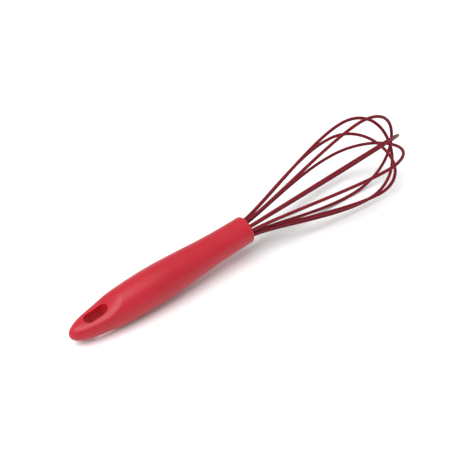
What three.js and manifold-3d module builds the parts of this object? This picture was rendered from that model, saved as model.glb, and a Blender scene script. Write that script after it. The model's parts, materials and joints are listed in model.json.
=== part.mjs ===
// Balloon whisk: ten wire legs in a silicone-skinned handle with a hanging slot in its scooped tail.
//
// Whisk frame: the handle's front face lies in x = 0, +X runs along the axis towards the balloon,
// and the scooped faces and the hanging slot face +Z and -Z. At the end of the file the whisk is
// tipped on to the table it lies on: +Z up, the table at z = 0, the origin under the box's centre.
// All sizes are in millimetres.

import * as THREE from 'three';
import { mergeVertices } from 'three/addons/utils/BufferGeometryUtils.js';
import Module from 'manifold-3d';

const wasm = await Module();
wasm.setup();

// ---- Driving dimensions ----

// Handle: [distance behind the front face, radius], a smooth curve down to the tip of the tail.
const HANDLE_OUTLINE = [
  [1.6, 9.85], [20, 9.9], [32, 10.25], [44, 10.95], [58, 11.8], [72, 12.35], [85, 12.2], [97, 11.6],
  [105, 10.8], [112, 9.7], [119, 8.4], [125, 6.95], [130.1, 4.95], [133.1, 2.6], [134, 0],
];
const FRONT_FILLET = 1.6;
const SKIN_WALL = 1.4;
const FIT_GAP = 0.1;

// Scoops on the top and the bottom of the tail, and the hanging slot that joins them.
const SCOOP_FLAT_FROM = 116.5;
const SCOOP_FLAT_TO = 121.5;
const TOP_SCOOP_HEIGHT = 6.2;
const BOTTOM_SCOOP_HEIGHT = 6.6;
const SCOOP_FRONT_RADIUS = 25;
const SCOOP_TAIL_RADIUS = 31;
const SCOOP_REACH = 0.9;
const SLOT_CENTRE = 114.9;
const SLOT_LENGTH = 15.2;
const SLOT_WIDTH = 7.6;

// Wire socket, and the plug and the potting that fill it.
const SOCKET_RADIUS = 7.4;
const SOCKET_DEPTH = 28;
const PLUG_RECESS = 0.8;
const PLUG_FLANGE = 2;
const PLUG_DEPTH = 10;
const PLUG_CHAMFER = 0.4;
const POTTING_DEPTH = 27.8;
const SPIGOT_RADIUS = SOCKET_RADIUS - FIT_GAP;

// Coated wire: every leg runs straight through the plug on one circle, then leans outwards.
const SLEEVE_DIAMETER = 2.4;
const CORE_DIAMETER = 1.3;
const SLEEVE_BORE = 1.5;
const HOLE_CLEARANCE = 0.1;
const EXIT_RADIUS = 5.85;
const EXIT_LEAN = 0.097;
const SLEEVE_START = 9;
const CORE_START = 24;

// Balloon: the half loop is one curve from the plug out to the belly, then one over the crown.
const BELLY_RADIUS = 30.7;
const BELLY_AT = 107.4;
const EXIT_PULL = 22.2;
const BELLY_PULL = 32.7;
const MEAN_CROWN = 142;

// Each loop's turn about the axis in degrees from +Z towards -Y, the height of its crown, what its
// belly adds to the mean radius, and how far the crown leans in the loop's own plane. The shoulder
// and the flatness, as shares of the crown's rise and of the belly, say how full the crown is.
const LOOPS = [
  { turn: -1.9, crown: 147.6, belly: 0.7, lean: 1.7, shoulder: 0.59, flatness: 0.6 },
  { turn: 39.2, crown: 150.3, belly: -0.1, lean: -0.1, shoulder: 0.37, flatness: 0.42 },
  { turn: 71.1, crown: 141.4, belly: 0.4, lean: 2.7, shoulder: 0.59, flatness: 0.6 },
  { turn: 108.4, crown: 136.1, belly: -1, lean: 1.9, shoulder: 0.59, flatness: 0.6 },
  { turn: 145.7, crown: 144.9, belly: 0, lean: -0.2, shoulder: 0.59, flatness: 0.6 },
];

// The tilt at which the balloon's lowest wire and the handle's belly both touch the table.
const REST_TILT = 0.0957;

// How far the cutting shapes reach beyond what they cut.
const CUTTER_SPAN = 40;
const CUTTER_OVERRUN = 10;

const ROUND_SIDES = 32;
const SLEEVE_SIDES = 8;
const CORE_SIDES = 6;
const HOLE_SIDES = 10;
const SLOT_END_SIDES = 10;
const LEG_STEPS = 9;
const CROWN_STEPS = 11;
const FILLET_STEPS = 4;
const SCOOP_STEPS = 8;

// ---- Materials ----

const material = (color, roughness, metalness) =>
  new THREE.MeshStandardMaterial({ color, roughness, metalness });

const skinMaterial = () => material('#cc2f3f', 0.55, 0);
const coreMaterial = () => material('#7d1822', 0.6, 0);
const plugMaterial = () => material('#8c1624', 0.5, 0);
const pottingMaterial = () => material('#c9b98f', 0.4, 0);
const sleeveMaterial = () => material('#8f1627', 0.5, 0);
const steelMaterial = () => material('#b9bcc0', 0.3, 1);

// ---- Solids ----

function toSolid(geometry) {
  const bare = geometry.index ? geometry.toNonIndexed() : geometry.clone();
  bare.deleteAttribute('normal');
  bare.deleteAttribute('uv');
  const merged = mergeVertices(bare, 1e-4);
  const vertProperties = new Float32Array(merged.attributes.position.array);
  const triVerts = new Uint32Array(merged.index.array);
  return new wasm.Manifold(new wasm.Mesh({ numProp: 3, vertProperties, triVerts }));
}

function toGeometry(solid) {
  const mesh = solid.getMesh();
  const geometry = new THREE.BufferGeometry();
  geometry.setAttribute('position', new THREE.BufferAttribute(mesh.vertProperties, 3));
  geometry.setIndex(new THREE.BufferAttribute(mesh.triVerts, 1));
  geometry.computeVertexNormals();
  return geometry;
}

// A body of revolution about X from [distance behind the front face, radius] pairs, tail first.
function turned(pairs) {
  const profile = pairs.map(([back, radius]) => new THREE.Vector2(radius, -back));
  return toSolid(new THREE.LatheGeometry(profile, ROUND_SIDES).rotateZ(-Math.PI / 2));
}

// A flat outline in the X-Z plane, drawn as [x, z] pairs, given a width across Y.
function slab(pairs, width) {
  const shape = new THREE.Shape(pairs.map(([x, z]) => new THREE.Vector2(x, z)));
  const geometry = new THREE.ExtrudeGeometry(shape, { depth: width, bevelEnabled: false, steps: 1 });
  return toSolid(geometry.translate(0, 0, -width / 2).rotateX(Math.PI / 2));
}

// ---- Handle ----

// The tail's tip is mirrored past the axis, so that the curve crosses the axis squarely.
function handleCurve() {
  const [back, radius] = HANDLE_OUTLINE.at(-2);
  const points = [...HANDLE_OUTLINE, [back, -radius]].map(([b, r]) => new THREE.Vector2(b, r));
  return new THREE.SplineCurve(points);
}

// The handle's outline moved in by an inset, from the tip of the tail to the front fillet.
function outlinePoints(inset) {
  const curve = handleCurve();
  const spans = curve.points.length - 1;
  const tip = (spans - 1) / spans;
  const steps = 2 * (spans - 1);
  const points = [];
  for (let i = steps; i >= 0; i -= 1) {
    const at = (tip * i) / steps;
    const tangent = curve.getTangent(at);
    const point = curve.getPoint(at);
    const radius = point.y - inset * tangent.x;
    points.push([point.x + inset * tangent.y, i === steps ? 0 : radius]);
  }
  return points;
}

// The rounded edge of the front face, from the full radius round to the face.
function frontFillet() {
  const centre = HANDLE_OUTLINE[0][1] - FRONT_FILLET;
  const points = [];
  for (let i = 1; i <= FILLET_STEPS; i += 1) {
    const angle = (Math.PI / 2) * (i / FILLET_STEPS);
    points.push([FRONT_FILLET * (1 - Math.sin(angle)), centre + FRONT_FILLET * Math.cos(angle)]);
  }
  return points;
}

// What one scoop takes away: everything above a flat with a rising arc at either end of it.
function scoop(height, inset) {
  const floor = height - inset;
  const pairs = [];
  const arc = (x, radius, side) => {
    for (let i = 0; i <= SCOOP_STEPS; i += 1) {
      const angle = (SCOOP_REACH * i) / SCOOP_STEPS;
      pairs.push([x + side * radius * Math.sin(angle), floor + radius * (1 - Math.cos(angle))]);
    }
    pairs.push([x + side * radius * Math.sin(SCOOP_REACH), CUTTER_SPAN]);
  };
  arc(-SCOOP_FLAT_TO, SCOOP_TAIL_RADIUS + inset, -1);
  pairs.reverse();
  arc(-SCOOP_FLAT_FROM, SCOOP_FRONT_RADIUS + inset, 1);
  return slab(pairs, CUTTER_SPAN);
}

// The hanging slot as a solid, grown on every side by the inset.
function slot(inset) {
  const radius = SLOT_WIDTH / 2 + inset;
  const half = (SLOT_LENGTH - SLOT_WIDTH) / 2;
  const shape = new THREE.Shape();
  shape.absarc(-SLOT_CENTRE + half, 0, radius, -Math.PI / 2, Math.PI / 2, false);
  shape.absarc(-SLOT_CENTRE - half, 0, radius, Math.PI / 2, (3 * Math.PI) / 2, false);
  const options = { depth: CUTTER_SPAN, bevelEnabled: false, steps: 1, curveSegments: SLOT_END_SIDES };
  return toSolid(new THREE.ExtrudeGeometry(shape, options).translate(0, 0, -CUTTER_SPAN / 2));
}

// The handle's whole form moved in by an inset; an inset form runs out through the front face.
function handleForm(inset) {
  const outline = outlinePoints(inset);
  const through = [[-CUTTER_OVERRUN, outline.at(-1)[1]], [-CUTTER_OVERRUN, 0]];
  const front = inset > 0 ? through : [...frontFillet(), [0, 0]];
  const upper = scoop(TOP_SCOOP_HEIGHT, inset);
  const lower = scoop(BOTTOM_SCOOP_HEIGHT, inset).mirror([0, 0, 1]);
  return turned([...outline, ...front]).subtract(upper).subtract(lower).subtract(slot(inset));
}

function handleSkin() {
  return handleForm(0).subtract(handleForm(SKIN_WALL));
}

// A round cutter on the axis, from a depth behind the front face out through that face.
function frontBore(depth, radius) {
  return turned([[depth, 0], [depth, radius], [-CUTTER_OVERRUN, radius], [-CUTTER_OVERRUN, 0]]);
}

function handleCore() {
  const seat = PLUG_RECESS + PLUG_FLANGE + FIT_GAP;
  const form = handleForm(SKIN_WALL + FIT_GAP);
  return form.subtract(frontBore(seat, CUTTER_SPAN)).subtract(frontBore(SOCKET_DEPTH, SOCKET_RADIUS));
}

// ---- Wires ----

function bezier(a, b, c, d, steps) {
  const curve = new THREE.CubicBezierCurve(a, b, c, d);
  return curve.getPoints(steps);
}

// Half of a loop from the handle to the crown, as points (x along the axis, y out from it).
function halfLoop(loop) {
  const v = (x, y) => new THREE.Vector2(x, y);
  const belly = BELLY_RADIUS + loop.belly;
  const bellyAt = BELLY_AT + (loop.crown - MEAN_CROWN) / 2;
  const crown = loop.crown;
  const leave = v(EXIT_PULL * Math.cos(EXIT_LEAN), EXIT_RADIUS + EXIT_PULL * Math.sin(EXIT_LEAN));
  const arrive = v(bellyAt - BELLY_PULL, belly);
  const leg = bezier(v(0, EXIT_RADIUS), leave, arrive, v(bellyAt, belly), LEG_STEPS);
  const shoulder = v(bellyAt + loop.shoulder * (crown - bellyAt), belly);
  const top = v(crown, loop.flatness * belly);
  const over = bezier(v(bellyAt, belly), shoulder, top, v(crown, 0), CROWN_STEPS);
  return [...leg, ...over.slice(1)];
}

// A point of a leg inside the handle, where the legs run straight back beside the axis.
function buried(back) {
  return new THREE.Vector2(-back, EXIT_RADIUS);
}

// A path whose stations are exactly the points given, so that a core and its sleeve stay parallel.
class StationPath extends THREE.Curve {
  constructor(points) {
    super();
    this.points = points;
  }

  getPoint(t) {
    return this.points[Math.round(t * (this.points.length - 1))].clone();
  }

  getPointAt(t) {
    return this.getPoint(t);
  }

  getTangentAt(t) {
    const last = this.points.length - 1;
    const i = Math.round(t * last);
    const ahead = this.points[Math.min(i + 1, last)].clone();
    const behind = this.points[Math.max(i - 1, 0)].clone();
    const before = this.points[i].clone().sub(behind).normalize();
    const after = ahead.sub(this.points[i]).normalize();
    return before.add(after).normalize();
  }
}

// The whole loop, from one buried end over the crown to the other.
function loopPath(loop, start) {
  const bellyAt = BELLY_AT + (loop.crown - MEAN_CROWN) / 2;
  const shared = [buried(SLEEVE_START), ...halfLoop(loop)];
  const half = start > SLEEVE_START ? [buried(start), ...shared] : shared;
  const mirrored = half.slice(0, -1).reverse().map((p) => new THREE.Vector2(p.x, -p.y));
  const turn = THREE.MathUtils.degToRad(loop.turn);
  const points = [...half, ...mirrored].map((p) => {
    const across = p.y + loop.lean * THREE.MathUtils.clamp(p.x / bellyAt, 0, 1) ** 2;
    return new THREE.Vector3(p.x, -across * Math.sin(turn), across * Math.cos(turn));
  });
  return new StationPath(points);
}

function polygon(diameter, sides) {
  const points = [];
  for (let i = 0; i < sides; i += 1) {
    const angle = (2 * Math.PI * i) / sides;
    points.push(new THREE.Vector2((diameter / 2) * Math.cos(angle), (diameter / 2) * Math.sin(angle)));
  }
  return points;
}

function swept(shape, path) {
  const options = { steps: path.points.length - 1, extrudePath: path, curveSegments: 1 };
  return new THREE.ExtrudeGeometry(shape, options);
}

function sleeve(loop) {
  const shape = new THREE.Shape(polygon(SLEEVE_DIAMETER, SLEEVE_SIDES));
  shape.holes.push(new THREE.Path(polygon(SLEEVE_BORE, CORE_SIDES)));
  return swept(shape, loopPath(loop, SLEEVE_START));
}

function steelCore(loop) {
  return swept(new THREE.Shape(polygon(CORE_DIAMETER, CORE_SIDES)), loopPath(loop, CORE_START));
}

// A rod along one buried leg between two depths, for the hole that the leg runs through.
function legRod(turn, side, from, to, diameter) {
  const angle = THREE.MathUtils.degToRad(turn);
  const across = side * EXIT_RADIUS;
  const rod = new THREE.CylinderGeometry(diameter / 2, diameter / 2, from - to, HOLE_SIDES);
  rod.rotateZ(Math.PI / 2).translate(-(from + to) / 2, -across * Math.sin(angle), across * Math.cos(angle));
  return toSolid(rod);
}

function drilled(body, from, to, diameter) {
  let result = body;
  for (const loop of LOOPS) {
    for (const side of [1, -1]) {
      result = result.subtract(legRod(loop.turn, side, from, to, diameter));
    }
  }
  return result;
}

// ---- Plug and potting ----

function wirePlug() {
  const rim = HANDLE_OUTLINE[0][1] - SKIN_WALL - FIT_GAP;
  const back = PLUG_RECESS + PLUG_FLANGE;
  const body = turned([
    [PLUG_DEPTH, 0], [PLUG_DEPTH, SPIGOT_RADIUS], [back, SPIGOT_RADIUS], [back, rim],
    [PLUG_RECESS + PLUG_CHAMFER, rim], [PLUG_RECESS, rim - PLUG_CHAMFER], [PLUG_RECESS, 0],
  ]);
  const hole = SLEEVE_DIAMETER + 2 * HOLE_CLEARANCE;
  return drilled(body, PLUG_DEPTH + CUTTER_OVERRUN, -CUTTER_OVERRUN, hole);
}

function wirePotting() {
  const front = PLUG_DEPTH + FIT_GAP;
  const body = turned([
    [POTTING_DEPTH, 0], [POTTING_DEPTH, SPIGOT_RADIUS], [front, SPIGOT_RADIUS], [front, 0],
  ]);
  return drilled(body, CORE_START + FIT_GAP, 0, CORE_DIAMETER + 2 * HOLE_CLEARANCE);
}

// ---- Assembly ----

const whisk = new THREE.Group();

function addPart(name, geometry, finish) {
  const mesh = new THREE.Mesh(geometry, finish);
  mesh.name = name;
  whisk.add(mesh);
}

addPart('handle_skin', toGeometry(handleSkin()), skinMaterial());
addPart('handle_core', toGeometry(handleCore()), coreMaterial());
addPart('wire_plug', toGeometry(wirePlug()), plugMaterial());
addPart('wire_potting', toGeometry(wirePotting()), pottingMaterial());
LOOPS.forEach((loop, i) => {
  addPart(`wire_core_${i + 1}`, steelCore(loop), steelMaterial());
  addPart(`wire_sleeve_${i + 1}`, sleeve(loop), sleeveMaterial());
});

// Tip the balloon's end up to the rest tilt, then stand the box's bottom centre on the origin.
whisk.rotation.y = -REST_TILT;
whisk.updateMatrixWorld(true);
const box = new THREE.Box3().setFromObject(whisk, true);
const centre = box.getCenter(new THREE.Vector3());
whisk.position.set(-centre.x, -centre.y, -box.min.z);

const part = new THREE.Group();
part.add(whisk);

export default part;
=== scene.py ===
"""Balloon whisk: the silicone-skinned handle, the wire plug and the coated wire loops."""
import json
import math

import bpy
import numpy as np
from mathutils import Matrix, Vector


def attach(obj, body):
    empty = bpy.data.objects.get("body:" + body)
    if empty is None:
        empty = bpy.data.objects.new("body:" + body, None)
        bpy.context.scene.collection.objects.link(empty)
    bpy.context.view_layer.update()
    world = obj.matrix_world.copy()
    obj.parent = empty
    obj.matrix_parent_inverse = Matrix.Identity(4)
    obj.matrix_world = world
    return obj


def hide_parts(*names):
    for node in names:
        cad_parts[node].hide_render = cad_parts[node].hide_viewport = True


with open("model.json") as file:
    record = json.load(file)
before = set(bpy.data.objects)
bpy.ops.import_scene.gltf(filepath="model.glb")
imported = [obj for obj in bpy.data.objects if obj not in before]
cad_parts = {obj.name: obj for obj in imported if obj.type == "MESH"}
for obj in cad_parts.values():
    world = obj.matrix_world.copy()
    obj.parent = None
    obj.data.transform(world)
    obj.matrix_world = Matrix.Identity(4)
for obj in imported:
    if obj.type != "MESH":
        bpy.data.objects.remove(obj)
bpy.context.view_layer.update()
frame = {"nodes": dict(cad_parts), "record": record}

MM = 0.001

# ---- Sizes in the whisk's own frame, in millimetres, as in the part's source ----

# The handle's outline: distance behind the front face, radius.
OUTLINE_BACK = (1.6, 20, 32, 44, 58, 72, 85, 97, 105, 112, 119, 125, 130.1, 133.1, 134)
OUTLINE_RADIUS = (9.85, 9.9, 10.25, 10.95, 11.8, 12.35, 12.2, 11.6, 10.8, 9.7, 8.4, 6.95, 4.95, 2.6, 0)
HANDLE_END = 135.5
SKIN_WALL = 1.4
FRONT_FILLET = 1.6
TOP_CREASE_FILLET = 2.6
BOTTOM_CREASE_FILLET = 1.0
RIM_FILLET = 0.7
MOUTH_FILLET = 0.3

SCOOP_FLAT = (116.5, 121.5)
TOP_SCOOP_HEIGHT = 6.2
BOTTOM_SCOOP_HEIGHT = 6.6
SCOOP_RADII = (25, 31)
SCOOP_REACH = 0.9
SLOT_CENTRE = 114.9
SLOT_LENGTH = 15.2
SLOT_WIDTH = 7.6

PLUG_RADIUS = 8.35
SPIGOT_RADIUS = 7.3
PLUG_RECESS = 0.8
PLUG_FLANGE = 2.0
PLUG_DEPTH = 10.0

# The plug's finer form: a domed front, a collar round each hole, and a dimple where it was gated.
PLUG_DOME = 0.35
PLUG_RIM_FILLET = 0.45
PLUG_TAIL_FILLET = 0.4
PLUG_SEAM_FILLET = 0.25
COLLAR_RADIUS = 1.6
COLLAR_HEIGHT = 0.75
COLLAR_FILLET = 0.3
COLLAR_ROOT_FILLET = 0.35
GATE_RADIUS = 2.1
HOLE_GAP = 0.04
HOLE_FILLET = 0.12
EDGE_BREAK = 0.1
ROOT_OVERLAP = 1

SLEEVE_RADIUS = 1.2
BORE_RADIUS = 0.75
CORE_RADIUS = 0.65
EXIT_RADIUS = 5.85
EXIT_LEAN = 0.097
SLEEVE_START = 9
CORE_START = 24

BELLY_RADIUS = 30.7
BELLY_AT = 107.4
EXIT_PULL = 22.2
BELLY_PULL = 32.7
MEAN_CROWN = 142

# Each loop's turn about the axis in degrees, crown height, belly, lean, shoulder and flatness,
# as in the part's source.
LOOPS = (
    (-1.9, 147.6, 0.7, 1.7, 0.59, 0.6),
    (39.2, 150.3, -0.1, -0.1, 0.37, 0.42),
    (71.1, 141.4, 0.4, 2.7, 0.59, 0.6),
    (108.4, 136.1, -1.0, 1.9, 0.59, 0.6),
    (145.7, 144.9, 0.0, -0.2, 0.59, 0.6),
)

# Where the two hanging faces' mounts sit in the whisk's own frame: back from the front, off the axis.
MOUNT_BACK = 118.5
MOUNT_ACROSS = 4.6

# ---- How finely the pieces are meshed ----

SKIN_PITCH = 0.5
SKIN_REACH = 13.5
SKIN_FRONT = 1.5
PLUG_PITCH = 0.25
PLUG_REACH = 9.3
SMOOTHING_ROUNDS = 4
LEG_STEPS = 90
CROWN_STEPS = 70
BURIED_STEPS = 12
SLEEVE_SIDES = 20
CORE_SIDES = 14

# ---- The whisk's place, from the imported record's mounts ----


def mount(name):
    for entry in frame["record"]["mounts"]:
        if entry["name"] == name:
            return Vector(entry["pos_m"]), Vector(entry["axis"]).normalized()
    raise ValueError("no mount named " + name)


def whisk_matrix():
    """Whisk millimetres to row metres: x along the axis, z out of the upper scoop."""
    top, up = mount("hang_face_top")
    bottom, _ = mount("hang_face_bottom")
    along = Vector((up.z, 0, -up.x))
    across = up.cross(along)
    middle = (top + bottom) / 2 + up * (BOTTOM_SCOOP_HEIGHT - TOP_SCOOP_HEIGHT) / 2 * MM
    origin = middle + along * MOUNT_BACK * MM - across * MOUNT_ACROSS * MM
    turn = Matrix((along, across, up)).transposed().to_4x4()
    return Matrix.Translation(origin) @ turn @ Matrix.Scale(MM, 4)


WHISK = whisk_matrix()


def to_row(points):
    matrix = np.array(WHISK)
    return points @ matrix[:3, :3].T + matrix[:3, 3]


def make_piece(name, points, faces, material):
    """A smooth-shaded mesh object from whisk-frame points in millimetres."""
    mesh = bpy.data.meshes.new(name)
    mesh.from_pydata(to_row(points).tolist(), [], faces)
    mesh.polygons.foreach_set("use_smooth", [True] * len(mesh.polygons))
    mesh.materials.append(material)
    mesh.validate()
    mesh.update()
    piece = bpy.data.objects.new(name, mesh)
    bpy.context.scene.collection.objects.link(piece)
    return piece


# ---- Surfaces from distance fields ----


def round_max(a, b, radius):
    """The overlap of two solids given by distances, with its edge rounded to a radius."""
    inner = np.minimum(np.maximum(a + radius, b + radius), 0)
    outer = np.hypot(np.maximum(a + radius, 0), np.maximum(b + radius, 0))
    return inner + outer - radius


def round_min(a, b, radius):
    """Two solids joined, with a fillet of a radius along the seam."""
    return -round_max(-a, -b, radius)


def cell_corners(values):
    return [
        values[i : values.shape[0] - 1 + i, j : values.shape[1] - 1 + j, k : values.shape[2] - 1 + k]
        for i in (0, 1)
        for j in (0, 1)
        for k in (0, 1)
    ]


def net_vertices(values, active, low, pitch):
    """One point for each active cell: the mean of where its twelve edges cross the surface."""
    corners = [c[active] for c in cell_corners(values)]
    places = [np.array((i, j, k), float) for i in (0, 1) for j in (0, 1) for k in (0, 1)]
    total = np.zeros((len(corners[0]), 3))
    count = np.zeros(len(corners[0]))
    for a in range(8):
        for b in range(a + 1, 8):
            if np.abs(places[a] - places[b]).sum() != 1:
                continue
            crosses = (corners[a] < 0) != (corners[b] < 0)
            span = np.where(crosses, corners[a] - corners[b], 1)
            share = np.where(crosses, corners[a] / span, 0)[:, None]
            total += np.where(crosses[:, None], places[a] + share * (places[b] - places[a]), 0)
            count += crosses
    cells = np.argwhere(active)
    return low + pitch * (cells + total / count[:, None])


def net_faces(values, index):
    """One quad round each grid edge that crosses the surface, facing out."""
    faces = []
    inside = values < 0
    for axis in range(3):
        order = [axis, (axis + 1) % 3, (axis + 2) % 3]
        v = np.transpose(inside, order)
        cells = np.transpose(index, order)
        edge = v[:-1, 1:-1, 1:-1] != v[1:, 1:-1, 1:-1]
        leaving = v[:-1, 1:-1, 1:-1][edge]
        quad = np.stack(
            [
                cells[:, :-1, :-1][edge],
                cells[:, 1:, :-1][edge],
                cells[:, 1:, 1:][edge],
                cells[:, :-1, 1:][edge],
            ],
            axis=1,
        )
        quad[~leaving] = quad[~leaving][:, ::-1]
        faces.append(quad)
    return np.concatenate(faces)


def gradient(field, points, step=0.01):
    slopes = []
    for axis in range(3):
        shift = np.zeros(3)
        shift[axis] = step
        slopes.append((field(points + shift) - field(points - shift)) / (2 * step))
    return np.stack(slopes, axis=1)


def settle(field, points, rounds):
    """Moves points along the field's slope on to its surface."""
    for _ in range(rounds):
        slope = gradient(field, points)
        size = np.maximum((slope**2).sum(axis=1), 0.05)
        points = points - (field(points) / size)[:, None] * slope
    return points


def relaxed(points, faces, share):
    """Each point moved a share of the way to the middle of its neighbours."""
    ends = np.concatenate([faces, np.roll(faces, 1, axis=1)]).reshape(-1)
    others = np.concatenate([np.roll(faces, 1, axis=1), faces]).reshape(-1)
    count = np.bincount(ends, minlength=len(points))[:, None]
    total = np.stack([np.bincount(ends, points[others, i], len(points)) for i in range(3)], axis=1)
    return points + share * (total / np.maximum(count, 1) - points)


def field_surface(field, low, high, pitch):
    """The closed surface where a field is zero, as points and quads."""
    low = np.array(low, float)
    counts = np.ceil((np.array(high) - low) / pitch).astype(int) + 1
    lines = [low[i] + pitch * np.arange(counts[i]) for i in range(3)]
    grid = np.stack(np.meshgrid(*lines, indexing="ij"), axis=-1)
    values = field(grid.reshape(-1, 3)).reshape(counts)
    filled = sum((c < 0).astype(int) for c in cell_corners(values))
    active = (filled > 0) & (filled < 8)
    index = np.full(active.shape, -1)
    index[active] = np.arange(active.sum())
    points = net_vertices(values, active, low, pitch)
    faces = net_faces(values, index)
    points = settle(field, points, 3)
    for _ in range(SMOOTHING_ROUNDS):
        points = settle(field, relaxed(points, faces, 0.5), 2)
    return points, faces


# ---- Handle ----


def spline_slopes(at, values):
    """Second derivatives of the natural cubic spline through the points."""
    n = len(at)
    gaps = np.diff(at)
    system = np.eye(n)
    right = np.zeros(n)
    for i in range(1, n - 1):
        system[i, i - 1 : i + 2] = (gaps[i - 1], 2 * (gaps[i - 1] + gaps[i]), gaps[i])
        rises = (values[i + 1] - values[i]) / gaps[i] - (values[i] - values[i - 1]) / gaps[i - 1]
        right[i] = 6 * rises
    return np.linalg.solve(system, right)


BACK = np.array(OUTLINE_BACK, float)
AREA = np.array(OUTLINE_RADIUS, float) ** 2
BEND = spline_slopes(BACK, AREA)


def outline(back):
    """The handle's squared radius and its slope at distances behind the front face."""
    at = np.clip(back, BACK[0], BACK[-1])
    i = np.clip(np.searchsorted(BACK, at) - 1, 0, len(BACK) - 2)
    gap = BACK[i + 1] - BACK[i]
    a = (BACK[i + 1] - at) / gap
    b = (at - BACK[i]) / gap
    square = a * AREA[i] + b * AREA[i + 1]
    square += ((a**3 - a) * BEND[i] + (b**3 - b) * BEND[i + 1]) * gap**2 / 6
    slope = (AREA[i + 1] - AREA[i]) / gap
    slope += ((1 - 3 * a**2) * BEND[i] + (3 * b**2 - 1) * BEND[i + 1]) * gap / 6
    beyond = back - at
    return square + slope * beyond * (beyond > 0), slope


def scoop_height(back, upper):
    """The scooped faces' height from the axis, and its slope along the handle."""
    height = np.where(upper, TOP_SCOOP_HEIGHT, BOTTOM_SCOOP_HEIGHT)
    slope = np.zeros_like(back)
    for start, radius, side in zip(SCOOP_FLAT, SCOOP_RADII, (-1, 1)):
        reach = np.maximum(side * (back - start), 0)
        arc = np.minimum(reach, SCOOP_REACH * radius)
        drop = np.sqrt(radius**2 - arc**2)
        height += radius - drop + (reach - arc) * arc / drop
        slope += arc / drop
    return height, slope


def slot_distance(x, y):
    half = (SLOT_LENGTH - SLOT_WIDTH) / 2
    return np.hypot(np.maximum(np.abs(x + SLOT_CENTRE) - half, 0), y) - SLOT_WIDTH / 2


def handle_field(points, inset):
    """Distance to the handle's form moved in by an inset, without its front face."""
    x, y, z = points.T
    square, slope = outline(-x)
    size = np.sqrt(4 * np.maximum(square, 0.5) + slope**2)
    form = (y**2 + z**2 - square) / size + inset
    height, rise = scoop_height(-x, z > 0)
    cut = (np.abs(z) - height) / np.sqrt(1 + rise**2) + inset
    body = round_max(form, cut, np.where(z > 0, TOP_CREASE_FILLET, BOTTOM_CREASE_FILLET))
    return round_max(body, inset - slot_distance(x, y), RIM_FILLET)


def skin_field(points):
    outer = round_max(handle_field(points, 0), points[:, 0], FRONT_FILLET)
    return round_max(outer, -handle_field(points, SKIN_WALL), MOUTH_FILLET)


# ---- Wires ----


def bezier(ends, steps):
    a, b, c, d = (np.array(p, float) for p in ends)
    t = np.linspace(0, 1, steps + 1)[:, None]
    return (1 - t) ** 3 * a + 3 * t * (1 - t) ** 2 * b + 3 * t**2 * (1 - t) * c + t**3 * d


def loop_points(loop, start):
    """The centre line of a loop as points along the axis and out from it, from end to end."""
    _, crown, extra, lean, fullness, flatness = loop
    belly = BELLY_RADIUS + extra
    at = BELLY_AT + (crown - MEAN_CROWN) / 2
    leave = (EXIT_PULL * math.cos(EXIT_LEAN), EXIT_RADIUS + EXIT_PULL * math.sin(EXIT_LEAN))
    leg = bezier(((0, EXIT_RADIUS), leave, (at - BELLY_PULL, belly), (at, belly)), LEG_STEPS)
    shoulder = (at + fullness * (crown - at), belly)
    over = bezier(((at, belly), shoulder, (crown, flatness * belly), (crown, 0)), CROWN_STEPS)
    back = np.linspace(-start, 0, BURIED_STEPS)[:-1]
    buried = np.stack([back, np.full_like(back, EXIT_RADIUS)], axis=1)
    half = np.concatenate([buried, leg, over[1:]])
    full = np.concatenate([half, half[-2::-1] * (1, -1)])
    full[:, 1] += lean * np.clip(full[:, 0] / at, 0, 1) ** 2
    return full


def loop_frame(loop):
    """The loop's own directions: along the axis, out from it, and square to the loop."""
    turn = math.radians(loop[0])
    out = np.array((0, -math.sin(turn), math.cos(turn)))
    return np.array((1.0, 0, 0)), out, np.array((0, math.cos(turn), math.sin(turn)))


def rings(loop, start, radius, sides):
    """Round sections along a loop, one row of points for each station."""
    flat = loop_points(loop, start)
    along, out, square = loop_frame(loop)
    ahead = np.gradient(flat, axis=0)
    ahead /= np.linalg.norm(ahead, axis=1)[:, None]
    centre = flat[:, :1] * along + flat[:, 1:] * out
    side = -ahead[:, 1:] * along + ahead[:, :1] * out
    angle = 2 * np.pi * np.arange(sides) / sides
    return (
        centre[:, None]
        + radius * np.cos(angle)[None, :, None] * side[:, None]
        + radius * np.sin(angle)[None, :, None] * square
    )


def tube_faces(stations, sides, first, inward):
    faces = []
    for i in range(stations - 1):
        for j in range(sides):
            k = (j + 1) % sides
            a, b = first + i * sides, first + (i + 1) * sides
            quad = (a + j, a + k, b + k, b + j)
            faces.append(quad[::-1] if inward else quad)
    return faces


def sleeve_piece(name, loop, material):
    """A coated wire's silicone sleeve: an outer wall, a bore, and a ring at either end."""
    sides = SLEEVE_SIDES
    outer = rings(loop, SLEEVE_START, SLEEVE_RADIUS, sides)
    inner = rings(loop, SLEEVE_START, BORE_RADIUS, sides)
    stations = len(outer)
    second = stations * sides
    faces = tube_faces(stations, sides, 0, True) + tube_faces(stations, sides, second, False)
    last = (stations - 1) * sides
    for j in range(sides):
        k = (j + 1) % sides
        faces.append((j, k, second + k, second + j))
        faces.append((last + k, last + j, second + last + j, second + last + k))
    points = np.concatenate([outer.reshape(-1, 3), inner.reshape(-1, 3)])
    return make_piece(name, points, faces, material)


def core_piece(name, loop, material):
    """A loop's steel wire, closed at both ends."""
    sides = CORE_SIDES
    ring = rings(loop, CORE_START, CORE_RADIUS, sides)
    stations = len(ring)
    last = (stations - 1) * sides
    faces = tube_faces(stations, sides, 0, True)
    faces.append(tuple(range(sides)))
    faces.append(tuple(last + j for j in reversed(range(sides))))
    return make_piece(name, ring.reshape(-1, 3), faces, material)


# ---- Plug ----


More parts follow.
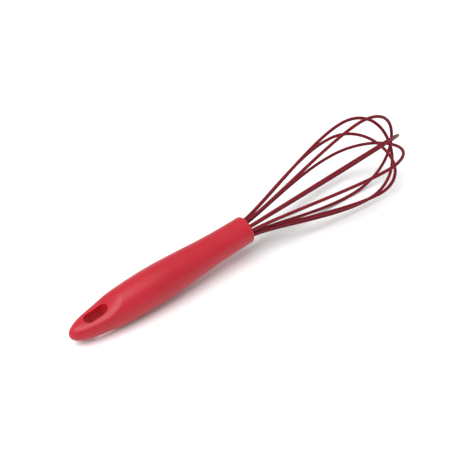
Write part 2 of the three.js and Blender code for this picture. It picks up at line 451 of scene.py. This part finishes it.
def leg_distance(points):
    """Distance from the nearest buried leg's centre line, near the plug."""
    nearest = np.full(len(points), 1e9)
    for loop in LOOPS:
        _, out, _ = loop_frame(loop)
        for side in (1, -1):
            away = points[:, 1:] - side * EXIT_RADIUS * out[1:]
            nearest = np.minimum(nearest, np.hypot(away[:, 0], away[:, 1]))
    return nearest


def plug_field(points):
    """The drilled insert: a flange, a spigot, and a raised collar round each hole."""
    face = points[:, 0] + PLUG_RECESS
    radius = np.hypot(points[:, 1], points[:, 2])
    root = -(face + ROOT_OVERLAP)
    front = face - PLUG_DOME * (1 - (radius / PLUG_RADIUS) ** 2)
    flange = round_max(radius - PLUG_RADIUS, front, PLUG_RIM_FILLET)
    flange = round_max(flange, -(face + PLUG_FLANGE), 2 * EDGE_BREAK)
    spigot = round_max(radius - SPIGOT_RADIUS, -(points[:, 0] + PLUG_DEPTH), PLUG_TAIL_FILLET)
    spigot = round_max(spigot, -root, EDGE_BREAK)
    body = round_min(flange, spigot, PLUG_SEAM_FILLET)
    legs = leg_distance(points)
    collar = round_max(legs - COLLAR_RADIUS, face - COLLAR_HEIGHT, COLLAR_FILLET)
    collar = round_max(collar, root, EDGE_BREAK)
    body = round_min(body, collar, COLLAR_ROOT_FILLET)
    gate = np.hypot(radius, face - GATE_RADIUS) - GATE_RADIUS
    body = round_max(body, -gate, PLUG_SEAM_FILLET)
    return round_max(body, SLEEVE_RADIUS + HOLE_GAP - legs, HOLE_FILLET)


# ---- Materials ----

# Painted bounce light: a brighter, stronger red on the slot's walls stands in for light bouncing round
# inside the slot; the silicone there is the same as elsewhere.
SLOT_PAINTED_BOUNCE_RED = (0.58, 0.005, 0.016, 1)

# The Mix node's colour sockets, which share their names with its other sockets.
MIX_SHARE, MIX_FIRST, MIX_SECOND, MIX_RESULT = 0, 6, 7, 2


def new_material(name):
    material = bpy.data.materials.new(name)
    material.use_nodes = True
    nodes = material.node_tree.nodes
    shader = nodes["Principled BSDF"]
    return material, nodes, material.node_tree.links, shader


def noise(nodes, links, scale, detail, roughness=0.5):
    """A noise texture on the piece's own coordinates, in metres."""
    place = nodes.new("ShaderNodeTexCoord")
    texture = nodes.new("ShaderNodeTexNoise")
    texture.inputs["Scale"].default_value = scale
    texture.inputs["Detail"].default_value = detail
    texture.inputs["Roughness"].default_value = roughness
    links.new(place.outputs["Object"], texture.inputs["Vector"])
    return texture.outputs["Fac"]


def ramp(nodes, links, source, stops):
    node = nodes.new("ShaderNodeValToRGB")
    elements = node.color_ramp.elements
    for element, (at, colour) in zip(elements, stops):
        element.position = at
        element.color = (*colour, 1)
    links.new(source, node.inputs["Fac"])
    return node.outputs["Color"]


def spread(nodes, links, source, low, high):
    """Maps a noise's middle range on to a range of values."""
    node = nodes.new("ShaderNodeMapRange")
    node.inputs["From Min"].default_value = 0.3
    node.inputs["From Max"].default_value = 0.7
    node.inputs["To Min"].default_value = low
    node.inputs["To Max"].default_value = high
    links.new(source, node.inputs["Value"])
    return node.outputs["Result"]


def bump(nodes, links, shader, layers):
    """Stacks bump layers of (height, strength, distance in metres) on the shader's normal."""
    previous = None
    for height, strength, distance in layers:
        node = nodes.new("ShaderNodeBump")
        node.inputs["Strength"].default_value = strength
        node.inputs["Distance"].default_value = distance
        links.new(height, node.inputs["Height"])
        if previous:
            links.new(previous, node.inputs["Normal"])
        previous = node.outputs["Normal"]
    links.new(previous, shader.inputs["Normal"])


def calculate(nodes, links, operation, first, second=0.0):
    """A math node on two sources, each a socket or a number."""
    node = nodes.new("ShaderNodeMath")
    node.operation = operation
    for source, socket in zip((first, second), node.inputs):
        if isinstance(source, (int, float)):
            socket.default_value = source
        else:
            links.new(source, socket)
    return node.outputs["Value"]


def painted_bounce_share(nodes, links):
    """Where the painted bounce light goes: 1 on the walls of the hanging slot, falling to 0 over its
    rounded rims.
    """
    place = nodes.new("ShaderNodeTexCoord")
    whisk = nodes.new("ShaderNodeMapping")
    whisk.vector_type = "TEXTURE"
    whisk.inputs["Location"].default_value = WHISK.translation
    whisk.inputs["Rotation"].default_value = WHISK.to_euler()
    whisk.inputs["Scale"].default_value = (MM, MM, MM)
    links.new(place.outputs["Object"], whisk.inputs["Vector"])
    split = nodes.new("ShaderNodeSeparateXYZ")
    links.new(whisk.outputs["Vector"], split.inputs["Vector"])
    along = calculate(nodes, links, "ADD", split.outputs["X"], SLOT_CENTRE)
    along = calculate(nodes, links, "ABSOLUTE", along)
    along = calculate(nodes, links, "SUBTRACT", along, (SLOT_LENGTH - SLOT_WIDTH) / 2)
    along = calculate(nodes, links, "MAXIMUM", along, 0.0)
    square = calculate(nodes, links, "MULTIPLY", along, along)
    across = calculate(nodes, links, "MULTIPLY", split.outputs["Y"], split.outputs["Y"])
    reach = calculate(nodes, links, "SQRT", calculate(nodes, links, "ADD", square, across))
    node = nodes.new("ShaderNodeMapRange")
    node.inputs["From Min"].default_value = SLOT_WIDTH / 2 + RIM_FILLET
    node.inputs["From Max"].default_value = SLOT_WIDTH / 2
    links.new(reach, node.inputs["Value"])
    return node.outputs["Result"]


def skin_material():
    """Moulded soft-touch silicone: bright red, satin, faintly mottled, with painted bounce light as a
    stronger red in the slot.
    """
    material, nodes, links, shader = new_material("silicone_skin")
    shade = noise(nodes, links, 55, 3)
    colours = ((0.3, (0.40, 0.0100, 0.021)), (0.7, (0.435, 0.0120, 0.025)))
    blend = nodes.new("ShaderNodeMix")
    blend.data_type = "RGBA"
    links.new(painted_bounce_share(nodes, links), blend.inputs[MIX_SHARE])
    links.new(ramp(nodes, links, shade, colours), blend.inputs[MIX_FIRST])
    # Painted bounce light: the slot's walls get a brighter, stronger red base colour in place of light
    # bouncing inside the slot.
    blend.inputs[MIX_SECOND].default_value = SLOT_PAINTED_BOUNCE_RED
    links.new(blend.outputs[MIX_RESULT], shader.inputs["Base Color"])
    haze = noise(nodes, links, 160, 4, 0.6)
    links.new(spread(nodes, links, haze, 0.36, 0.44), shader.inputs["Roughness"])
    grain = noise(nodes, links, 5200, 3, 0.6)
    swell = noise(nodes, links, 260, 2)
    bump(nodes, links, shader, ((grain, 0.12, 0.00004), (swell, 0.1, 0.00012)))
    shader.inputs["Specular IOR Level"].default_value = 0.34
    shader.inputs["Subsurface Weight"].default_value = 0.3
    shader.inputs["Subsurface Radius"].default_value = (1.0, 0.12, 0.1)
    shader.inputs["Subsurface Scale"].default_value = 0.002
    return material


def sleeve_material():
    """Extruded silicone: deep red, smoother than the skin, with faint draw lines."""
    material, nodes, links, shader = new_material("silicone_sleeve")
    shade = noise(nodes, links, 90, 3)
    colours = ((0.3, (0.14, 0.005, 0.012)), (0.7, (0.17, 0.006, 0.015)))
    links.new(ramp(nodes, links, shade, colours), shader.inputs["Base Color"])
    haze = noise(nodes, links, 420, 3)
    links.new(spread(nodes, links, haze, 0.38, 0.5), shader.inputs["Roughness"])
    grain = noise(nodes, links, 6500, 2)
    swell = noise(nodes, links, 700, 2)
    bump(nodes, links, shader, ((grain, 0.1, 0.00003), (swell, 0.12, 0.00005)))
    shader.inputs["Specular IOR Level"].default_value = 0.14
    return material


def plastic_material(name, dark, light, low, high):
    """Moulded nylon with a fine spark-eroded texture."""
    material, nodes, links, shader = new_material(name)
    shade = noise(nodes, links, 140, 4)
    links.new(ramp(nodes, links, shade, ((0.3, dark), (0.7, light))), shader.inputs["Base Color"])
    haze = noise(nodes, links, 600, 3)
    links.new(spread(nodes, links, haze, low, high), shader.inputs["Roughness"])
    grain = noise(nodes, links, 3600, 4, 0.65)
    bump(nodes, links, shader, ((grain, 0.25, 0.00005),))
    return material


def steel_material():
    """Drawn stainless wire with fine lengthwise streaks."""
    material, nodes, links, shader = new_material("drawn_steel")
    streak = noise(nodes, links, 2400, 5, 0.7)
    colours = ((0.3, (0.50, 0.51, 0.53)), (0.7, (0.66, 0.67, 0.69)))
    links.new(ramp(nodes, links, streak, colours), shader.inputs["Base Color"])
    links.new(spread(nodes, links, streak, 0.2, 0.36), shader.inputs["Roughness"])
    bump(nodes, links, shader, ((streak, 0.1, 0.00002),))
    shader.inputs["Metallic"].default_value = 1.0
    return material


def resin_material():
    """Cast amber resin with clouding."""
    material, nodes, links, shader = new_material("cast_resin")
    cloud = noise(nodes, links, 320, 5, 0.6)
    colours = ((0.3, (0.46, 0.33, 0.16)), (0.7, (0.62, 0.50, 0.29)))
    links.new(ramp(nodes, links, cloud, colours), shader.inputs["Base Color"])
    links.new(spread(nodes, links, cloud, 0.12, 0.3), shader.inputs["Roughness"])
    bump(nodes, links, shader, ((cloud, 0.2, 0.0001),))
    return material


def floor_material():
    """A matt white table with the faintest mottle."""
    material, nodes, links, shader = new_material("white_table")
    cloud = noise(nodes, links, 6, 2)
    colours = ((0.3, (0.88, 0.88, 0.88)), (0.7, (0.9, 0.9, 0.9)))
    links.new(ramp(nodes, links, cloud, colours), shader.inputs["Base Color"])
    shader.inputs["Roughness"].default_value = 0.7
    shader.inputs["Specular IOR Level"].default_value = 0.2
    return material


# ---- Camera, light and table ----

CAMERA_OFFSET = (-199.1, -237.4, 255.86)
CAMERA_ELEVATION = 40.32
CAMERA_AZIMUTH = -38.87
LENS = 45
SENSOR = 36

TABLE_HALF = 1.5
WORLD_STRENGTH = 0.6
KEY_PLACE = (-0.9, -0.05, 2.0)
KEY_TARGET = (0, 0, 0.03)
KEY_SIZE = (1.9, 1.9)
KEY_POWER = 56


def add_camera():
    elevation = math.radians(CAMERA_ELEVATION)
    azimuth = math.radians(CAMERA_AZIMUTH)
    back = Vector(
        (
            math.sin(azimuth) * math.cos(elevation),
            -math.cos(azimuth) * math.cos(elevation),
            math.sin(elevation),
        )
    )
    data = bpy.data.cameras.new("camera")
    data.lens = LENS
    data.sensor_width = SENSOR
    data.clip_start = 0.01
    data.clip_end = 20
    camera = bpy.data.objects.new("camera", data)
    camera.location = WHISK.translation + Vector(CAMERA_OFFSET) * MM
    camera.rotation_euler = back.to_track_quat("Z", "Y").to_euler()
    bpy.context.scene.collection.objects.link(camera)
    bpy.context.scene.camera = camera


def add_light(name, place, target, size, power):
    data = bpy.data.lights.new(name, "AREA")
    data.shape = "RECTANGLE"
    data.size, data.size_y = size
    data.energy = power
    light = bpy.data.objects.new(name, data)
    light.location = place
    light.rotation_euler = (Vector(place) - Vector(target)).to_track_quat("Z", "Y").to_euler()
    bpy.context.scene.collection.objects.link(light)


def add_world(strength):
    world = bpy.data.worlds.new("studio")
    world.use_nodes = True
    background = world.node_tree.nodes["Background"]
    background.inputs["Color"].default_value = (1, 1, 1, 1)
    background.inputs["Strength"].default_value = strength
    bpy.context.scene.world = world


def add_table():
    half = TABLE_HALF
    mesh = bpy.data.meshes.new("table")
    corners = [(-half, -half, 0), (half, -half, 0), (half, half, 0), (-half, half, 0)]
    mesh.from_pydata(corners, [], [(0, 1, 2, 3)])
    mesh.materials.append(floor_material())
    table = bpy.data.objects.new("table", mesh)
    bpy.context.scene.collection.objects.link(table)


# ---- Assembly ----


def add_piece(piece, node):
    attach(piece, "root")
    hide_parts(node)


def add_handle():
    low = (-HANDLE_END, -SKIN_REACH, -SKIN_REACH)
    high = (SKIN_FRONT, SKIN_REACH, SKIN_REACH)
    points, faces = field_surface(skin_field, low, high, SKIN_PITCH)
    skin = make_piece("soft_grip_skin", points, faces.tolist(), skin_material())
    add_piece(skin, "handle_skin")


def add_plug():
    low = (-PLUG_DEPTH - 1, -PLUG_REACH, -PLUG_REACH)
    high = (1, PLUG_REACH, PLUG_REACH)
    points, faces = field_surface(plug_field, low, high, PLUG_PITCH)
    dark, light = (0.25, 0.010, 0.020), (0.30, 0.013, 0.025)
    finish = plastic_material("plug_nylon", dark, light, 0.42, 0.55)
    insert = make_piece("front_insert", points, faces.tolist(), finish)
    add_piece(insert, "wire_plug")


def add_wires():
    silicone = sleeve_material()
    steel = steel_material()
    for number, loop in enumerate(LOOPS, 1):
        sleeve = sleeve_piece(f"silicone_loop_{number}", loop, silicone)
        add_piece(sleeve, f"wire_sleeve_{number}")
        core = core_piece(f"spring_wire_{number}", loop, steel)
        add_piece(core, f"wire_core_{number}")


def finish_node(node, material):
    """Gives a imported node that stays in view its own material."""
    target = frame["nodes"][node]
    target.data.materials.clear()
    target.data.materials.append(material)


bpy.context.scene.view_settings.view_transform = "Standard"
add_camera()
add_world(WORLD_STRENGTH)
add_light("key_softbox", KEY_PLACE, KEY_TARGET, KEY_SIZE, KEY_POWER)
add_table()
add_handle()
add_plug()
add_wires()
core_nylon = plastic_material("core_nylon", (0.2, 0.01, 0.018), (0.25, 0.013, 0.022), 0.5, 0.62)
finish_node("handle_core", core_nylon)
finish_node("wire_potting", resin_material())
